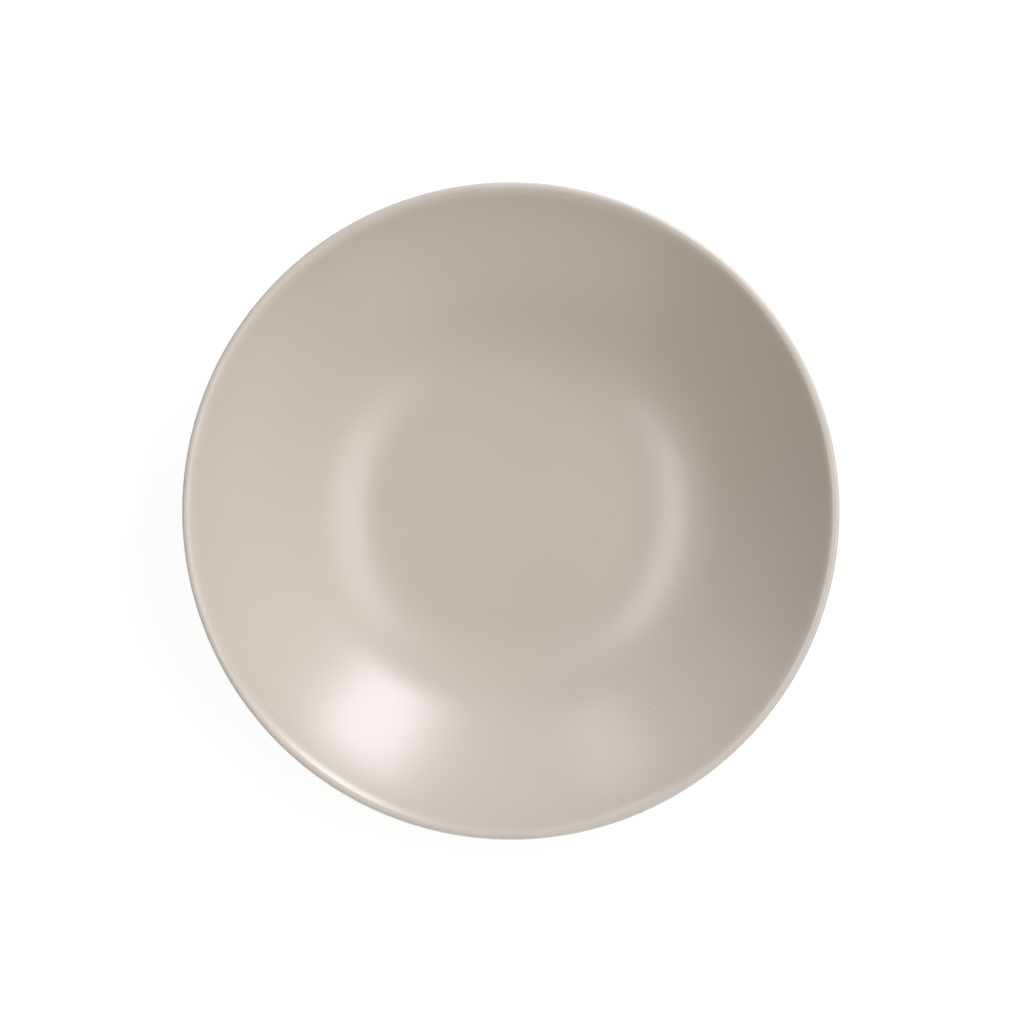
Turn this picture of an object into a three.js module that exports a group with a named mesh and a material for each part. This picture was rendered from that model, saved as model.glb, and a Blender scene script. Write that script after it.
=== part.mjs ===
// A deep coupe plate in glazed stoneware. Millimetres, +Z up, origin on the table under the middle of the foot.
// The plate is turned about one axis. A fired clay body carries the shape, and three coats of glaze lie on it:
// one over the eating face, one over the outside, and one in the recess under the base. The two large coats
// meet on the crest of the lip. The standing edge of the foot ring is wiped clean, so the clay shows there.
import * as THREE from "three";

// Driving dimensions
const plateDiameter = 220; // over the glazed lip
const plateHeight = 47; // from the table to the crest of the glazed lip
const wellDiameter = 78; // flat of the well
const coveRadius = 68; // of the wall's centre line, where it turns up out of the well
const coveAngle = THREE.MathUtils.degToRad(32); // slope at which the cove runs into the wall
const floorThickness = 6; // clay, in the well
const lipThickness = 2.2; // clay, of the wall where it runs into the lip
const lipEdgeRadius = 0.65; // clay, on the outer side of the lip
const footDiameter = 104; // over the clay of the foot ring
const footWidth = 6; // across the foot ring
const recessHeight = 3.8; // of the bare clay base above the table, inside the foot ring
const footEdgeRadius = 1.2; // of the two bare edges that the plate stands on
const footRootRadius = 1.8; // in the corners where the foot ring grows out of the base
const glazeThickness = 0.35; // from the clay to the outside of a coat
const glazeGap = 0.05; // between a coat and what it lies against

// Fineness of the facets
const turnSegments = 60; // round the axis
const coveSteps = 6;
const wallSteps = 4;
const lipSteps = 4; // on either side of the lip's crest
const filletSteps = 2; // in each short arc, under the lip's edge and on the foot ring
const settleRounds = 12; // in working out the slope of the wall at the lip

// The lip: a tight round on its outer side, and on its inner side a wide roll that ends at its crest.
const edgeOfLip = Math.min(lipEdgeRadius, lipThickness / 2);
const crest = new THREE.Vector2(plateDiameter / 2 - glazeThickness - edgeOfLip, plateHeight - glazeThickness);

// The centre line of floor and wall: flat in the well, then a cove, then a longer arc to the lip.
// The slope of the wall at the lip and the end of the wall follow from each other, so they are settled by turns.
const wellEdge = new THREE.Vector2(wellDiameter / 2, recessHeight + floorThickness / 2);
const coveEnd = arcPoint(wellEdge, 0, coveAngle, 2 * coveRadius * Math.sin(coveAngle / 2), 1);
let lipAngle = coveAngle;
for (let i = 0; i < settleRounds; i++) lipAngle = 2 * wallEnd(lipAngle).sub(coveEnd).angle() - coveAngle;
const lipStart = wallEnd(lipAngle);
const wallChord = lipStart.distanceTo(coveEnd);
const lipRoll = rollRadius(lipAngle);

// The foot ring, with fillets no larger than its sides have room for.
const footOuter = footDiameter / 2;
const footInner = footOuter - footWidth;
const edgeRadius = Math.min(footEdgeRadius, footWidth / 3, recessHeight / 3);
const rootRadius = Math.min(footRootRadius, recessHeight - edgeRadius - glazeThickness);

// Radius of the lip's inner roll that, with its outer round, leaves a wall at this slope its thickness.
function rollRadius(slope) {
  const lean = Math.cos(slope);
  return (lipThickness - edgeOfLip * (1 + lean)) / (1 - lean);
}

// End of the wall's centre line, beside the place where the eating face runs into the lip's roll.
function wallEnd(slope) {
  const roll = rollRadius(slope);
  return new THREE.Vector2(-Math.sin(slope), Math.cos(slope))
    .multiplyScalar(roll - lipThickness / 2)
    .add(new THREE.Vector2(crest.x, crest.y - roll));
}

// Point at share t along an arc that starts at a slope, ends at another and has the given chord.
function arcPoint(start, fromSlope, toSlope, chord, t) {
  const turn = toSlope - fromSlope;
  const reach = Math.abs(turn) < 1e-9 ? t : Math.sin((turn * t) / 2) / Math.sin(turn / 2);
  const heading = fromSlope + (turn * t) / 2;
  return new THREE.Vector2(Math.cos(heading), Math.sin(heading)).multiplyScalar(chord * reach).add(start);
}

// Stations along the centre line from the edge of the well to the lip, each with its slope and thickness.
function wallStations() {
  const coveChord = wellEdge.distanceTo(coveEnd);
  const stations = [];
  for (let i = 0; i <= coveSteps; i++) {
    const t = i / coveSteps;
    stations.push({ at: arcPoint(wellEdge, 0, coveAngle, coveChord, t), slope: coveAngle * t });
  }
  for (let i = 1; i <= wallSteps; i++) {
    const t = i / wallSteps;
    stations.push({
      at: arcPoint(coveEnd, coveAngle, lipAngle, wallChord, t),
      slope: THREE.MathUtils.lerp(coveAngle, lipAngle, t),
    });
  }
  for (const station of stations) {
    const share = station.at.distanceTo(wellEdge) / lipStart.distanceTo(wellEdge);
    station.thickness = THREE.MathUtils.lerp(floorThickness, lipThickness, share);
  }
  return stations;
}

// One face of the wall from the well to the lip: side 1 is the eating face, side -1 the outside.
// A coat lies proud of the clay by the given distance.
function wallFace(side, proud) {
  return wallStations().map(({ at, slope, thickness }) =>
    new THREE.Vector2(-Math.sin(slope), Math.cos(slope))
      .multiplyScalar(side * (thickness / 2 + proud))
      .add(at),
  );
}

// A round stretch of a profile, from one angle to another.
function arc(centreX, centreY, radius, fromAngle, toAngle, steps) {
  const points = [];
  for (let i = 0; i <= steps; i++) {
    const angle = THREE.MathUtils.lerp(fromAngle, toAngle, i / steps);
    points.push(new THREE.Vector2(centreX + radius * Math.cos(angle), centreY + radius * Math.sin(angle)));
  }
  return points;
}

// The inner side of the lip, from its crest down to the eating face.
// A coat stops short of the crest by the given distance, so that the two coats only meet there.
function lipInner(proud, short) {
  const radius = lipRoll + proud;
  const top = Math.PI / 2 + short / radius;
  return arc(crest.x, crest.y - lipRoll, radius, top, Math.PI / 2 + lipAngle, lipSteps);
}

// The outer side of the lip: from the wall out to the widest point, then up to the crest.
function lipOuter(proud, short) {
  const radius = edgeOfLip + proud;
  const top = Math.PI / 2 - short / radius;
  return [
    ...arc(crest.x, crest.y - edgeOfLip, radius, lipAngle - Math.PI / 2, 0, filletSteps),
    ...arc(crest.x, crest.y - edgeOfLip, radius, 0, top, lipSteps).slice(1),
  ];
}

// The eating face from the lip's crest to the axis.
function eatingFace(proud, short) {
  const wall = wallFace(1, proud).reverse().slice(1);
  const middle = new THREE.Vector2(0, wellEdge.y + floorThickness / 2 + proud);
  return [...lipInner(proud, short), ...wall, middle];
}

// The outside from the foot ring's standing edge to the lip's crest: the side of the foot, a fillet in its
// root, the wall and the outer side of the lip.
function outside(proud, short) {
  const underside = new THREE.Vector2(0, recessHeight - proud);
  const wall = [underside, ...wallFace(-1, proud)];
  const side = footOuter + proud;
  const fillet = Math.max(rootRadius - proud, glazeGap);
  const beyond = wall.findIndex((point) => point.x > side + 2 * fillet);
  const [before, after] = [wall[beyond - 1], wall[beyond]];
  const slope = Math.atan2(after.y - before.y, after.x - before.x);
  const centreX = side + fillet;
  const centreY = before.y + (centreX - before.x) * Math.tan(slope) - fillet / Math.cos(slope);
  return [
    new THREE.Vector2(side, edgeRadius),
    ...arc(centreX, centreY, fillet, Math.PI, Math.PI / 2 + slope, filletSteps),
    ...wall.slice(beyond),
    ...lipOuter(proud, short),
  ];
}

// The recess under the base from the axis to the foot ring's standing edge.
function recess(proud) {
  const side = footInner - proud;
  const base = recessHeight - proud;
  const fillet = Math.max(rootRadius - proud, glazeGap);
  return [
    new THREE.Vector2(0, base),
    ...arc(side - fillet, base - fillet, fillet, Math.PI / 2, 0, filletSteps),
    new THREE.Vector2(side, edgeRadius),
  ];
}

// The bare standing edge of the foot ring, from its inner side to its outer side.
function standingEdge() {
  const quarter = Math.PI / 2;
  const inner = arc(footInner + edgeRadius, edgeRadius, edgeRadius, 2 * quarter, 3 * quarter, filletSteps);
  const outer = arc(footOuter - edgeRadius, edgeRadius, edgeRadius, 3 * quarter, 4 * quarter, filletSteps);
  return [...inner.slice(1), ...outer.slice(0, -1)];
}

// The clay: recess, standing edge, outside, lip and eating face in one closed profile.
function stonewareBody() {
  return [...recess(0), ...standingEdge(), ...outside(0, 0), ...eatingFace(0, 0).slice(1)];
}

// The coat on the eating face: its clay side outwards to the lip, then its open side back to the axis.
function faceGlaze() {
  return [...eatingFace(glazeGap, glazeGap).reverse(), ...eatingFace(glazeThickness, glazeGap)];
}

// The coat on the outside: its open side up to the lip, then its clay side back down to the foot.
function outerGlaze() {
  const open = outside(glazeThickness, glazeGap);
  return [...open, ...outside(glazeGap, glazeGap).reverse(), open[0].clone()];
}

// The coat in the recess: its open side out to the foot ring, then its clay side back to the axis.
function baseGlaze() {
  return [...recess(glazeThickness), ...recess(glazeGap).reverse()];
}

const bareStoneware = new THREE.MeshStandardMaterial({ color: 0xcbb9a0, roughness: 0.9, metalness: 0 });
const satinGlaze = new THREE.MeshStandardMaterial({ color: 0xbeb6ac, roughness: 0.4, metalness: 0 });

function turned(name, profile, material) {
  const mesh = new THREE.Mesh(new THREE.LatheGeometry(profile, turnSegments), material);
  mesh.name = name;
  return mesh;
}

const plate = new THREE.Group();
plate.rotation.x = Math.PI / 2; // profiles are turned about +Y, and the plate stands on +Z
plate.add(
  turned("stoneware_body", stonewareBody(), bareStoneware),
  turned("face_glaze", faceGlaze(), satinGlaze),
  turned("outer_glaze", outerGlaze(), satinGlaze),
  turned("base_glaze", baseGlaze(), satinGlaze),
);

export default plate;
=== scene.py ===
import math

import bpy
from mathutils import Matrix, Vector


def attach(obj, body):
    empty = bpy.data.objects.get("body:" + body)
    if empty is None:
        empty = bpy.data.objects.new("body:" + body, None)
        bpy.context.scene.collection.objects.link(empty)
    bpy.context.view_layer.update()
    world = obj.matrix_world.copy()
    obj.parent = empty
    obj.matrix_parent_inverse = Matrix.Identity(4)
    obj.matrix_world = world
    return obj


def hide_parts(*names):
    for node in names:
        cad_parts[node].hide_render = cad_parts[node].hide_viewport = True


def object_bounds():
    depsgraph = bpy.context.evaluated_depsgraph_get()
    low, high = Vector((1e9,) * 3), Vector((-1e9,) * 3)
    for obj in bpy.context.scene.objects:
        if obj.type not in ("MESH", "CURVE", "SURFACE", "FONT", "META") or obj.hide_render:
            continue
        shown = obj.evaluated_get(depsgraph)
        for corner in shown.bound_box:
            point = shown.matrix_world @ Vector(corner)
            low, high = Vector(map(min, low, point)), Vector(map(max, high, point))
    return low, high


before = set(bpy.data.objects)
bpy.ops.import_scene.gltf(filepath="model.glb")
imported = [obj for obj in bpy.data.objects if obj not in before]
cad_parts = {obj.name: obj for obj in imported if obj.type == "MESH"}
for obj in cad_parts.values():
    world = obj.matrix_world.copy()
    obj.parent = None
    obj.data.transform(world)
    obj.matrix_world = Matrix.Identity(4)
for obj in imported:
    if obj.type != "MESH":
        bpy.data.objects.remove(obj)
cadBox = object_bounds()
plateRadius = cadBox[1].x
plateHeight = cadBox[1].z
quarter = math.pi / 2
print("frame loaded:", sorted(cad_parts))


# The clay, in metres. How wide and how high it is follows from the frame.
clay = {
    "wellRadius": 0.039,              # flat of the well
    "coveRadius": 0.068,              # of the wall's centre line, where it turns up out of the well
    "coveAngle": math.radians(32),    # slope at which the cove runs into the wall
    "floorThickness": 0.006,
    "lipThickness": 0.0022,           # of the wall where it runs into the lip
    "lipEdge": 0.00065,               # radius of the lip's outer side
    "lipEase": 0.0014,                # length of wall, on the eating side, that eases into the lip
    "lipShoulder": math.radians(38),  # slope at which that easing runs into the lip's own roll
    "footRadius": 0.052,
    "footWidth": 0.006,
    "recessHeight": 0.0038,           # of the base above the table, inside the foot ring
    "footEdge": 0.0012,               # radius of the two bare edges that the plate stands on
    "footRoot": 0.0018,               # radius in the corners of the foot ring
}

# A coat of glaze, measured from the clay
coat = {
    "bed": 0.00005,                   # to its underside
    "open": 0.00035,                  # to its open side
}

# How finely the pieces are turned
facets = {
    "turn": 256,                      # round the axis
    "cove": 20,
    "wall": 22,
    "lip": 20,                        # on either side of the crest
    "fillet": 8,                      # in the other round stretches
    "well": 6,                        # rings on the flat of the well
    "recess": 5,                      # rings under the base
    "crestStep": math.radians(0.1),   # a hair of lip at the crest, so that both coats are level there
    "weld": 0.000001,                 # points nearer than this become one
    "smooth": math.radians(40),       # sharper edges stay crisp
}
settleRounds = 12                     # in working out the slope of the wall at the lip


# The centre line of floor and wall: flat in the well, then a cove, then a longer arc to the lip.
# Places in an outline are (from the axis, above the table).
crest = (plateRadius - coat["open"] - clay["lipEdge"], plateHeight - coat["open"])
wellEdge = (clay["wellRadius"], clay["recessHeight"] + clay["floorThickness"] / 2)


def arcPoint(start, fromSlope, toSlope, chord, share):
    # a share of the way along an arc that goes from one slope to another
    turn = toSlope - fromSlope
    reach = math.sin(turn * share / 2) / math.sin(turn / 2)
    heading = fromSlope + turn * share / 2
    return (
        start[0] + math.cos(heading) * chord * reach,
        start[1] + math.sin(heading) * chord * reach,
    )


def wallEnd(slope):
    # the wall ends beside a plain roll on the lip's inner side that would leave it its thickness
    lean = math.cos(slope)
    roll = (clay["lipThickness"] - clay["lipEdge"] * (1 + lean)) / (1 - lean)
    inward = roll - clay["lipThickness"] / 2
    return (crest[0] - inward * math.sin(slope), crest[1] - roll + inward * math.cos(slope))


coveChord = 2 * clay["coveRadius"] * math.sin(clay["coveAngle"] / 2)
coveEnd = arcPoint(wellEdge, 0, clay["coveAngle"], coveChord, 1)


def settleWall():
    # the slope of the wall at the lip and the end of the wall follow from each other
    slope = clay["coveAngle"]
    for settling in range(settleRounds):
        end = wallEnd(slope)
        slope = 2 * math.atan2(end[1] - coveEnd[1], end[0] - coveEnd[0]) - clay["coveAngle"]
    return slope


lipAngle = settleWall()
lipStart = wallEnd(lipAngle)
wallChord = math.dist(coveEnd, lipStart)
print("wall meets the lip at", round(math.degrees(lipAngle), 1), "degrees")


def wallStations(reach):
    # places along the centre line with their slopes, up to a share of the way from cove to lip
    stations = []
    for i in range(facets["cove"] + 1):
        share = i / facets["cove"]
        at = arcPoint(wellEdge, 0, clay["coveAngle"], coveChord, share)
        stations.append((at, clay["coveAngle"] * share))
    for i in range(1, facets["wall"] + 1):
        share = reach * i / facets["wall"]
        at = arcPoint(coveEnd, clay["coveAngle"], lipAngle, wallChord, share)
        stations.append((at, clay["coveAngle"] + (lipAngle - clay["coveAngle"]) * share))
    return stations


# Faces of the plate, as outlines. The clay's lie proud by 0, and a coat's by its bed or its open side.

def wallFace(side, proud):
    # side 1 is the eating face, side -1 the outside, from the well to the lip
    reach = 1 - clay["lipEase"] / wallChord if side == 1 else 1
    taper = clay["lipThickness"] - clay["floorThickness"]
    points = []
    for at, slope in wallStations(reach):
        share = math.dist(at, wellEdge) / math.dist(lipStart, wellEdge)
        off = side * ((clay["floorThickness"] + taper * share) / 2 + proud)
        points.append((at[0] - math.sin(slope) * off, at[1] + math.cos(slope) * off))
    return points


def roundStretch(centre, radius, fromAngle, toAngle, steps):
    points = []
    for i in range(steps + 1):
        angle = fromAngle + (toAngle - fromAngle) * i / steps
        points.append((centre[0] + radius * math.cos(angle), centre[1] + radius * math.sin(angle)))
    return points


def easedRadii(shoulder, slope, across, down):
    # radii of two arcs in a row, level to shoulder and shoulder to slope, that together reach so far
    tight = (math.sin(shoulder), 1 - math.cos(shoulder))
    wide = (math.sin(slope) - math.sin(shoulder), math.cos(shoulder) - math.cos(slope))
    scale = tight[0] * wide[1] - tight[1] * wide[0]
    roll = (across * wide[1] - down * wide[0]) / scale
    ease = (tight[0] * down - tight[1] * across) / scale
    return roll, ease


def innerLip(proud):
    # from the crest round the lip's own roll, then along a wide arc that eases into the wall
    below, wallTop = wallFace(1, 0)[-2:]
    slope = math.atan2(wallTop[1] - below[1], wallTop[0] - below[0])
    shoulder = clay["lipShoulder"]
    roll, ease = easedRadii(shoulder, slope, crest[0] - wallTop[0], crest[1] - wallTop[1])
    rollCentre = (crest[0], crest[1] - roll)
    easeCentre = (
        rollCentre[0] + (ease - roll) * math.sin(shoulder),
        rollCentre[1] - (ease - roll) * math.cos(shoulder),
    )
    start, join, end = quarter + facets["crestStep"], quarter + shoulder, quarter + slope
    rolled = roundStretch(rollCentre, roll + proud, start, join, facets["lip"])
    eased = roundStretch(easeCentre, ease + proud, join, end, facets["fillet"])
    return [(crest[0], crest[1] + proud)] + rolled + eased[1:]


def outerLip(proud):
    # from the crest over the widest point to the outside of the wall
    centre = (crest[0], crest[1] - clay["lipEdge"])
    start, end = quarter - facets["crestStep"], lipAngle - quarter
    rolled = roundStretch(centre, clay["lipEdge"] + proud, start, end, facets["lip"])
    return [(crest[0], crest[1] + proud)] + rolled


def eatingFace(proud):
    # from the crest of the lip down the wall into the well and to the axis
    wall = wallFace(1, proud)[-2::-1]
    edge, level = wall[-1]
    well = [(edge * (1 - i / facets["well"]), level) for i in range(1, facets["well"] + 1)]
    return innerLip(proud) + wall + well


def outsideFace(proud):
    # from the crest of the lip down the wall and the side of the foot ring
    wall = wallFace(-1, proud)[::-1]
    side = clay["footRadius"] + proud
    fillet = clay["footRoot"] - proud
    kept = [point for point in wall if point[0] > side + 2 * fillet]
    low, high = wall[len(kept)], kept[-1]
    slope = math.atan2(high[1] - low[1], high[0] - low[0])
    centreX = side + fillet
    centre = (centreX, low[1] + (centreX - low[0]) * math.tan(slope) - fillet / math.cos(slope))
    root = roundStretch(centre, fillet, quarter + slope, math.pi, facets["fillet"])
    return outerLip(proud) + kept + root


def recessFace(proud):
    # from the axis out under the base and into the corner of the foot ring
    side = clay["footRadius"] - clay["footWidth"] - proud
    base = clay["recessHeight"] - proud
    fillet = clay["footRoot"] - proud
    corner = (side - fillet, base - fillet)
    flat = [(corner[0] * i / facets["recess"], base) for i in range(facets["recess"])]
    return flat + roundStretch(corner, fillet, quarter, 0, facets["fillet"])


def standingEdge():
    # the bare edge that the plate stands on, from the inside of the foot ring to its outside
    edge = clay["footEdge"]
    inner = (clay["footRadius"] - clay["footWidth"] + edge, edge)
    outer = (clay["footRadius"] - edge, edge)
    rising = roundStretch(outer, edge, 3 * quarter, 4 * quarter, facets["fillet"])
    return roundStretch(inner, edge, 2 * quarter, 3 * quarter, facets["fillet"]) + rising


def coatEnd(openSide, bedSide):
    # the rounded lower end of a coat beside the standing edge, from its open side to its underside
    radius = abs(openSide - bedSide) / 2
    centre = ((openSide + bedSide) / 2, clay["footEdge"] + radius)
    fromAngle, toAngle = (0, -math.pi) if openSide > bedSide else (math.pi, 2 * math.pi)
    return roundStretch(centre, radius, fromAngle, toAngle, facets["fillet"])


def drawOutline(name, outline):
    # one vertex, extruded from point to point
    bpy.ops.object.select_all(action="DESELECT")
    bpy.ops.mesh.primitive_plane_add(size=coat["open"], location=(0, 0, 0))
    piece = bpy.context.active_object
    piece.name = name
    piece.data.name = name
    bpy.ops.object.mode_set(mode="EDIT")
    bpy.ops.mesh.merge(type="CENTER")
    pen = outline[0]
    bpy.ops.transform.translate(value=(pen[0], 0, pen[1]))
    for point in outline[1:]:
        step = (point[0] - pen[0], 0, point[1] - pen[1])
        bpy.ops.mesh.extrude_vertices_move(TRANSFORM_OT_translate={"value": step})
        pen = point
    return piece


def turnPiece(name, outline):
    # the outline is spun about the plate's axis, closed and smoothed
    piece = drawOutline(name, outline)
    bpy.ops.mesh.select_all(action="SELECT")
    bpy.ops.mesh.spin(steps=facets["turn"], angle=2 * math.pi, center=(0, 0, 0), axis=(0, 0, 1))
    bpy.ops.mesh.select_all(action="SELECT")
    bpy.ops.mesh.remove_doubles(threshold=facets["weld"])
    bpy.ops.mesh.normals_make_consistent(inside=False)
    bpy.ops.object.mode_set(mode="OBJECT")
    bpy.ops.object.shade_smooth_by_angle(angle=facets["smooth"])
    print(name, "turned:", len(piece.data.polygons), "faces")
    return piece


# Materials

def newMaterial(name):
    material = bpy.data.materials.new(name)
    material.use_nodes = True
    tree = material.node_tree
    return material, tree, tree.nodes["Principled BSDF"]


def addNode(tree, kind, **inputs):
    node = tree.nodes.new(kind)
    for key, value in inputs.items():
        node.inputs[key].default_value = value
    return node


def spread(tree, value, low, high, toLow=0.0, toHigh=1.0):
    # a value between low and high, drawn out smoothly to run from toLow to toHigh
    node = addNode(tree, "ShaderNodeMapRange")
    node.interpolation_type = "SMOOTHSTEP"
    for key, number in zip(("From Min", "From Max", "To Min", "To Max"), (low, high, toLow, toHigh)):
        node.inputs[key].default_value = number
    tree.links.new(value, node.inputs["Value"])
    return node.outputs["Result"]


def noiseAt(tree, place, grain):
    noise = addNode(tree, "ShaderNodeTexNoise", **grain)
    tree.links.new(place, noise.inputs["Vector"])
    return noise.outputs["Fac"]


noiseReach = (0.3, 0.7)  # nearly all of a noise lies between these


def driftAt(tree, place, grain, toLow=0.0, toHigh=1.0):
    # a noise that wanders all the way from toLow to toHigh
    return spread(tree, noiseAt(tree, place, grain), *noiseReach, toLow, toHigh)


def maths(tree, operation, first, second):
    node = tree.nodes.new("ShaderNodeMath")
    node.operation = operation
    for socket, value in zip(node.inputs, (first, second)):
        if isinstance(value, (int, float)):
            socket.default_value = value
        else:
            tree.links.new(value, socket)
    return node.outputs["Value"]


def vectorMaths(tree, operation, place, other=(0, 0, 0)):
    node = tree.nodes.new("ShaderNodeVectorMath")
    node.operation = operation
    tree.links.new(place, node.inputs[0])
    node.inputs[1].default_value = other
    return node


def blendColour(tree, factor, first, second):
    node = tree.nodes.new("ShaderNodeMix")
    node.data_type = "RGBA"
    tree.links.new(factor, node.inputs["Factor"])
    for key, value in (("A", first), ("B", second)):
        socket = next(s for s in node.inputs if s.name == key and s.type == "RGBA")
        if isinstance(value, tuple):
            socket.default_value = (*value, 1)
        else:
            tree.links.new(value, socket)
    return next(s for s in node.outputs if s.type == "RGBA")


def heightAt(tree, place):
    axes = tree.nodes.new("ShaderNodeSeparateXYZ")
    tree.links.new(place, axes.inputs["Vector"])
    return axes.outputs["Z"]


def fromAbove(tree, place):
    return vectorMaths(tree, "MULTIPLY", place, (1, 1, 0)).outputs["Vector"]


def addRelief(tree, shader, height, relief):
    bump = addNode(tree, "ShaderNodeBump", **relief)
    tree.links.new(height, bump.inputs["Height"])
    tree.links.new(bump.outputs["Normal"], shader.inputs["Normal"])


satinGlaze = {
    "thin": (0.474, 0.428, 0.382),
    "thick": (0.466, 0.420, 0.374),
    "clouds": {"Scale": 22, "Detail": 3},      # of thin and thick
    "lip": (0.520, 0.470, 0.412),              # paler, over the top of the lip
    "lipReach": 0.0016,                        # below the crest
    "lipPatches": {"Scale": 60, "Detail": 3},
    "lipShare": (0.5, 1.0),                    # of the lip's colour, from patch to patch
    # painted shade: the colour of the pinholes' shadowed insides
    "pinholeShade": (0.160, 0.130, 0.100),
    "pinholeRadius": 0.00035,
    "pinholeDepth": 6,                         # in heights of the eggshell
    "pinholes": ((0.0473, -0.0671), (0.0285, 0.0586), (0.0225, 0.0217)),
    "roughness": 0.28,
    "roughnessDrift": 0.004,
    "patches": {"Scale": 180, "Detail": 4, "Roughness": 0.6},
    "wornRoughness": 0.42,                     # on the outer side of the lip
    "wornReach": 0.0008,                       # outwards from the crest
    "eggshell": {"Scale": 2600, "Detail": 2},
    "relief": {"Strength": 0.06, "Distance": 0.00005},
}


def pinholeMask(tree, place):
    # 1 in the middle of each pinhole in the coat, 0 a hair away from it
    flat = fromAbove(tree, place)
    mask = None
    for x, y in satinGlaze["pinholes"]:
        away = vectorMaths(tree, "DISTANCE", flat, (x, y, 0)).outputs["Value"]
        hole = spread(tree, away, 0, satinGlaze["pinholeRadius"], 1, 0)
        mask = hole if mask is None else maths(tree, "MAXIMUM", mask, hole)
    return mask


def glazeColour(tree, place, pinholes):
    clouds = driftAt(tree, place, satinGlaze["clouds"])
    colour = blendColour(tree, clouds, satinGlaze["thin"], satinGlaze["thick"])
    # paler over the top of the lip, in patches
    lip = spread(tree, heightAt(tree, place), plateHeight - satinGlaze["lipReach"], plateHeight)
    runs = driftAt(tree, place, satinGlaze["lipPatches"], *satinGlaze["lipShare"])
    colour = blendColour(tree, maths(tree, "MULTIPLY", lip, runs), colour, satinGlaze["lip"])
    # painted shade darkens each pinhole
    return blendColour(tree, pinholes, colour, satinGlaze["pinholeShade"])


def glazeRoughness(tree, place):
    # nearly even, and worn duller on the outer side of the lip
    plain, drift = satinGlaze["roughness"], satinGlaze["roughnessDrift"]
    rough = driftAt(tree, place, satinGlaze["patches"], plain - drift, plain + drift)
    across = vectorMaths(tree, "LENGTH", fromAbove(tree, place)).outputs["Value"]
    wear = satinGlaze["wornRoughness"] - plain
    worn = spread(tree, across, crest[0], crest[0] + satinGlaze["wornReach"], 0, wear)
    return maths(tree, "ADD", rough, worn)


def makeSatinGlaze():
    material, tree, shader = newMaterial("satinGlaze")
    place = tree.nodes.new("ShaderNodeTexCoord").outputs["Object"]
    pinholes = pinholeMask(tree, place)
    tree.links.new(glazeColour(tree, place, pinholes), shader.inputs["Base Color"])
    tree.links.new(glazeRoughness(tree, place), shader.inputs["Roughness"])
    pits = maths(tree, "MULTIPLY", pinholes, satinGlaze["pinholeDepth"])
    height = maths(tree, "SUBTRACT", noiseAt(tree, place, satinGlaze["eggshell"]), pits)
    addRelief(tree, shader, height, satinGlaze["relief"])
    return material


bareStoneware = {
    "clay": (0.560, 0.450, 0.325),
    "pale": (0.640, 0.535, 0.400),
    "mottle": {"Scale": 120, "Detail": 5, "Roughness": 0.6},  # of clay and pale
    "iron": (0.230, 0.150, 0.090),
    "specks": {"Scale": 1300, "Detail": 2},
    "speckReach": (0.70, 0.76),                               # peaks of that noise are specks of iron
    "toast": (0.420, 0.290, 0.180),                           # beside the glaze
    "toastStart": 0.0003,                                     # above the table
    "toastShare": 0.8,
    "roughness": 0.86,
    "roughnessDrift": 0.06,
    "sand": {"Scale": 2200, "Detail": 3, "Roughness": 0.7},
    "relief": {"Strength": 0.5, "Distance": 0.0002},
}


def stonewareColour(tree, place):
    mottle = noiseAt(tree, place, bareStoneware["mottle"])
    colour = blendColour(tree, mottle, bareStoneware["clay"], bareStoneware["pale"])
    specks = spread(tree, noiseAt(tree, place, bareStoneware["specks"]), *bareStoneware["speckReach"])
    colour = blendColour(tree, specks, colour, bareStoneware["iron"])
    start, end = bareStoneware["toastStart"], clay["footEdge"]
    toast = spread(tree, heightAt(tree, place), start, end, 0, bareStoneware["toastShare"])
    return blendColour(tree, toast, colour, bareStoneware["toast"])


def makeBareStoneware():
    material, tree, shader = newMaterial("bareStoneware")
    place = tree.nodes.new("ShaderNodeTexCoord").outputs["Object"]
    tree.links.new(stonewareColour(tree, place), shader.inputs["Base Color"])
    plain, drift = bareStoneware["roughness"], bareStoneware["roughnessDrift"]
    sand = noiseAt(tree, place, bareStoneware["sand"])
    rough = spread(tree, sand, *noiseReach, plain - drift, plain + drift)
    tree.links.new(rough, shader.inputs["Roughness"])
    addRelief(tree, shader, sand, bareStoneware["relief"])
    return material


glazeMaterial = makeSatinGlaze()
clayMaterial = makeBareStoneware()
print("materials made")


# Pieces

def makeClayBody():
    # recess, standing edge, outside, lip and eating face in one outline
    outline = recessFace(0) + standingEdge() + outsideFace(0)[::-1] + eatingFace(0)[1:]
    return turnPiece("clayBody", outline)


def makeFaceCoat():
    outline = eatingFace(coat["bed"])[::-1] + eatingFace(coat["open"])
    return turnPiece("faceCoat", outline)


def makeOutsideCoat():
    side = clay["footRadius"]
    end = coatEnd(side + coat["open"], side + coat["bed"])
    outline = outsideFace(coat["open"]) + end + outsideFace(coat["bed"])[::-1]
    return turnPiece("outsideCoat", outline + outline[:1])


def makeRecessCoat():
    side = clay["footRadius"] - clay["footWidth"]
    end = coatEnd(side - coat["open"], side - coat["bed"])
    outline = recessFace(coat["open"]) + end + recessFace(coat["bed"])[::-1]
    return turnPiece("recessCoat", outline)


def fitPiece(piece, node, material):
    piece.data.materials.append(material)
    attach(piece, "root")
    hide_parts(node)


fitPiece(makeClayBody(), "stoneware_body", clayMaterial)
fitPiece(makeFaceCoat(), "face_glaze", glazeMaterial)
fitPiece(makeOutsideCoat(), "outer_glaze", glazeMaterial)
fitPiece(makeRecessCoat(), "base_glaze", glazeMaterial)
print("plate turned and glazed")


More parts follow.
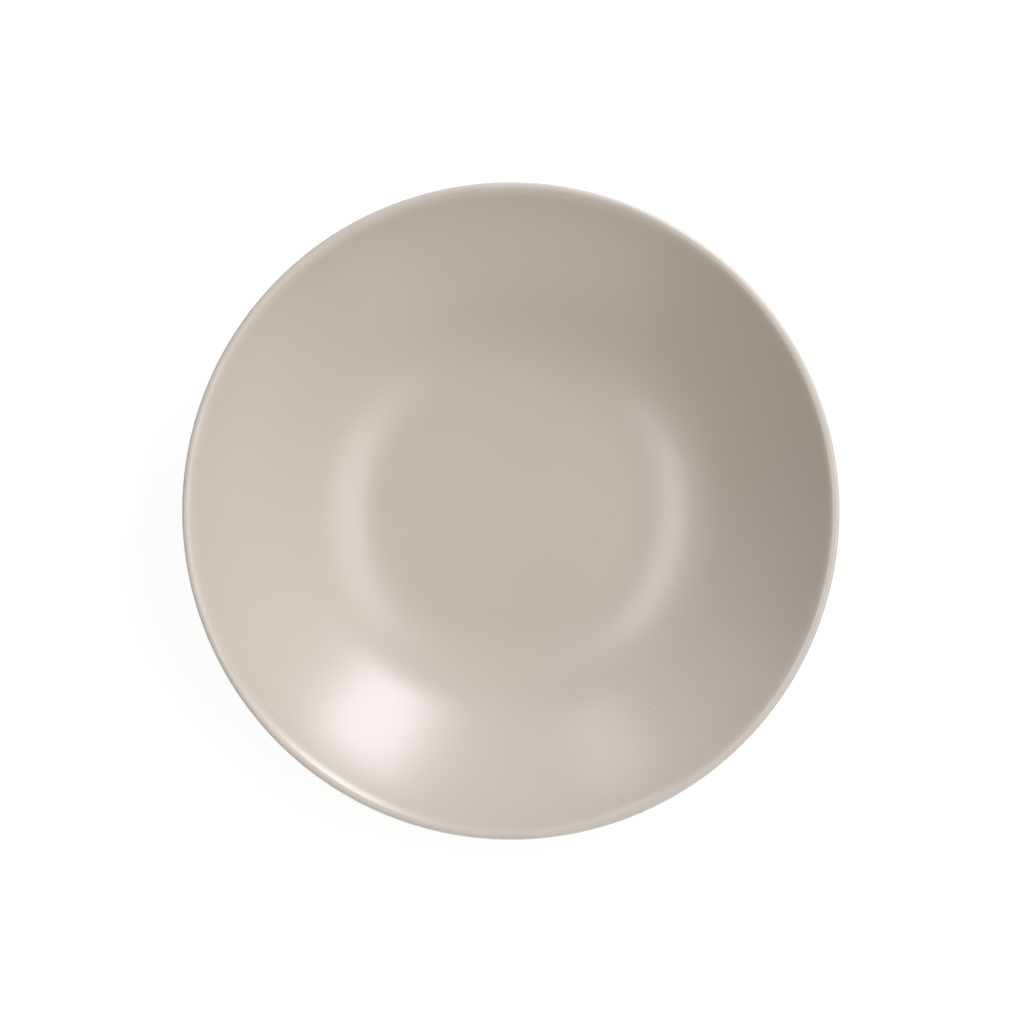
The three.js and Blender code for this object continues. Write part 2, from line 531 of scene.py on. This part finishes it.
# Floor and background, which show white to the viewer. The floor keeps the plate's shadow.
studio = {
    "floorRadius": 0.45,     # it ends inside the softboxes' light, where it is as white as the background
    "floorSides": 128,
    "floorColour": (0.80, 0.80, 0.80),
    "floorGlow": 0.86,
    "floorShade": 0.25,      # share of the lit floor that shows beside the glow
    "background": 1.0,
    "ambient": 0.02,
}


def pathToViewer(tree):
    # 1 for what the camera, a gloss or a clear thing sees, 0 for the light that falls on things
    path = tree.nodes.new("ShaderNodeLightPath")
    seen = maths(tree, "MAXIMUM", path.outputs["Is Camera Ray"], path.outputs["Is Glossy Ray"])
    return maths(tree, "MAXIMUM", seen, path.outputs["Is Transmission Ray"])


def showEither(tree, lighting, seen, output):
    # one shader lights things and the other is what the viewer sees
    either = tree.nodes.new("ShaderNodeMixShader")
    tree.links.new(pathToViewer(tree), either.inputs[0])
    tree.links.new(lighting.outputs[0], either.inputs[1])
    tree.links.new(seen.outputs[0], either.inputs[2])
    tree.links.new(either.outputs[0], tree.nodes[output].inputs["Surface"])


def makeFloor():
    bpy.ops.object.select_all(action="DESELECT")
    sides, radius = studio["floorSides"], studio["floorRadius"]
    bpy.ops.mesh.primitive_circle_add(vertices=sides, radius=radius, fill_type="NGON")
    floor = bpy.context.active_object
    floor.name = "floor"
    material, tree, shader = newMaterial("floor")
    tree.nodes.remove(shader)
    shade = [channel * studio["floorShade"] for channel in studio["floorColour"]]
    lit = addNode(tree, "ShaderNodeBsdfDiffuse", Color=(*studio["floorColour"], 1))
    shaded = addNode(tree, "ShaderNodeBsdfDiffuse", Color=(*shade, 1))
    glow = addNode(tree, "ShaderNodeEmission", Strength=studio["floorGlow"])
    shown = tree.nodes.new("ShaderNodeAddShader")
    tree.links.new(shaded.outputs[0], shown.inputs[0])
    tree.links.new(glow.outputs[0], shown.inputs[1])
    showEither(tree, lit, shown, "Material Output")
    floor.data.materials.append(material)


def makeWorld():
    world = bpy.data.worlds.new("studio")
    bpy.context.scene.world = world
    world.use_nodes = True
    world.cycles.sampling_method = "NONE"
    tree = world.node_tree
    white = tree.nodes["Background"]
    white.inputs["Color"].default_value = (1, 1, 1, 1)
    white.inputs["Strength"].default_value = studio["background"]
    fill = addNode(tree, "ShaderNodeBackground", Color=(1, 1, 1, 1), Strength=studio["ambient"])
    showEither(tree, fill, white, "World Output")


# Softboxes stand round the plate at one distance and face it. Azimuth 0 is +X, polar 0 is overhead.
# Sizes are along the horizon, then up towards the top.
softboxes = {
    "key": {
        "azimuth": 57, "polar": 64, "size": (0.32, 0.60), "radiance": 12.1, "tint": (0.96, 0.97, 1.06),
    },
    "window": {
        "azimuth": 112, "polar": 66, "size": (0.16, 0.53), "radiance": 3.8, "tint": (0.98, 1.0, 1.02),
    },
    "leftStrip": {
        "azimuth": 172, "polar": 22, "size": (0.57, 0.25), "radiance": 5.8, "tint": (0.99, 1.01, 1.0),
    },
    "rightStrip": {
        "azimuth": -11, "polar": 16, "size": (0.22, 0.08), "radiance": 6.8, "tint": (1.0, 1.01, 0.98),
    },
    "rightPanel": {
        "azimuth": 3, "polar": 23, "size": (0.63, 0.31), "radiance": 4.2, "tint": (1.0, 1.01, 0.98),
    },
    "rightWall": {
        "azimuth": -4, "polar": 54, "size": (2.5, 1.5), "radiance": 0.56, "tint": (1.06, 0.99, 0.94),
    },
    "frontWall": {
        "azimuth": 272, "polar": 73, "size": (1.2, 0.64), "radiance": 1.15, "tint": (1.02, 1.01, 0.95),
    },
}
softboxDistance = 1.0
softboxAim = 0.02            # height that the softboxes face


def aroundPlate(distance, azimuth, height):
    return (distance * math.cos(azimuth), distance * math.sin(azimuth), height)


def addLight(name, spot, turn, size, radiance, tint=(1, 1, 1)):
    bpy.ops.object.light_add(type="AREA", location=spot, rotation=turn)
    light = bpy.context.active_object
    light.name = name
    light.data.shape = "RECTANGLE"
    light.data.size, light.data.size_y = size[1], size[0]  # a lamp's own X runs up and down here
    light.data.energy = radiance * math.pi * size[0] * size[1]
    light.data.color = tint
    light.visible_camera = False


def makeSoftbox(name, box):
    polar, azimuth = math.radians(box["polar"]), math.radians(box["azimuth"])
    height = softboxAim + softboxDistance * math.cos(polar)
    spot = aroundPlate(softboxDistance * math.sin(polar), azimuth, height)
    addLight(name, spot, (0, polar, azimuth), box["size"], box["radiance"], box["tint"])


# Low cards, no higher than the lip, light the outside of the lip and nothing in the well.
lowCards = {
    "leftCard": {"azimuth": 188, "size": (0.90, 0.040), "radiance": 4.0},
    "frontCard": {"azimuth": 280, "size": (0.50, 0.040), "radiance": 3.5},
}
lowCardDistance = 0.36


def makeLowCard(name, card):
    azimuth = math.radians(card["azimuth"])
    spot = aroundPlate(lowCardDistance, azimuth, plateHeight - card["size"][1] / 2)
    addLight(name, spot, (0, quarter, azimuth), card["size"], card["radiance"])


# A grey flag on the left, which only reflections show, in place of the white background
flag = {"azimuth": 190, "distance": 0.60, "width": 0.94, "height": 0.56, "grey": 0.45}


def makeFlag():
    azimuth = math.radians(flag["azimuth"])
    spot = aroundPlate(flag["distance"], azimuth, flag["height"] / 2)
    bpy.ops.object.select_all(action="DESELECT")
    bpy.ops.mesh.primitive_plane_add(size=1, location=spot, rotation=(0, quarter, azimuth))
    card = bpy.context.active_object
    card.name = "flag"
    card.scale = (flag["height"], flag["width"], 1)
    material, tree, shader = newMaterial("flag")
    tree.nodes.remove(shader)
    grey = addNode(tree, "ShaderNodeEmission", Color=(1, 1, 1, 1), Strength=flag["grey"])
    tree.links.new(grey.outputs[0], tree.nodes["Material Output"].inputs["Surface"])
    material.cycles.emission_sampling = "NONE"
    card.data.materials.append(material)
    card.visible_camera = False
    card.visible_diffuse = False
    card.visible_transmission = False
    card.visible_shadow = False


# Camera straight above, framed so that the plate's outline falls where the photograph has it
shot = {
    "lens": 120.0,
    "sensor": 36.0,
    "picture": 1024,                   # pixels across the photograph
    "outlineCentre": (510.85, 511.0),  # of the plate there, in pixels from the upper left
    "outlineRadius": 328.7,
}


def makeCamera():
    pixel = plateRadius / shot["outlineRadius"]
    middle = shot["picture"] / 2
    distance = pixel * middle * shot["lens"] / (shot["sensor"] / 2)
    widest = crest[1] - clay["lipEdge"]  # height of the plate's outline
    spot = (
        (middle - shot["outlineCentre"][0]) * pixel,
        (shot["outlineCentre"][1] - middle) * pixel,
        widest + distance,
    )
    bpy.ops.object.camera_add(location=spot, rotation=(0, 0, 0))
    camera = bpy.context.active_object
    camera.data.lens = shot["lens"]
    camera.data.sensor_width = shot["sensor"]
    bpy.context.scene.camera = camera


makeFloor()
makeWorld()
for name, box in softboxes.items():
    makeSoftbox(name, box)
for name, card in lowCards.items():
    makeLowCard(name, card)
makeFlag()
makeCamera()
bpy.context.scene.view_settings.view_transform = "Standard"
print("studio lit")
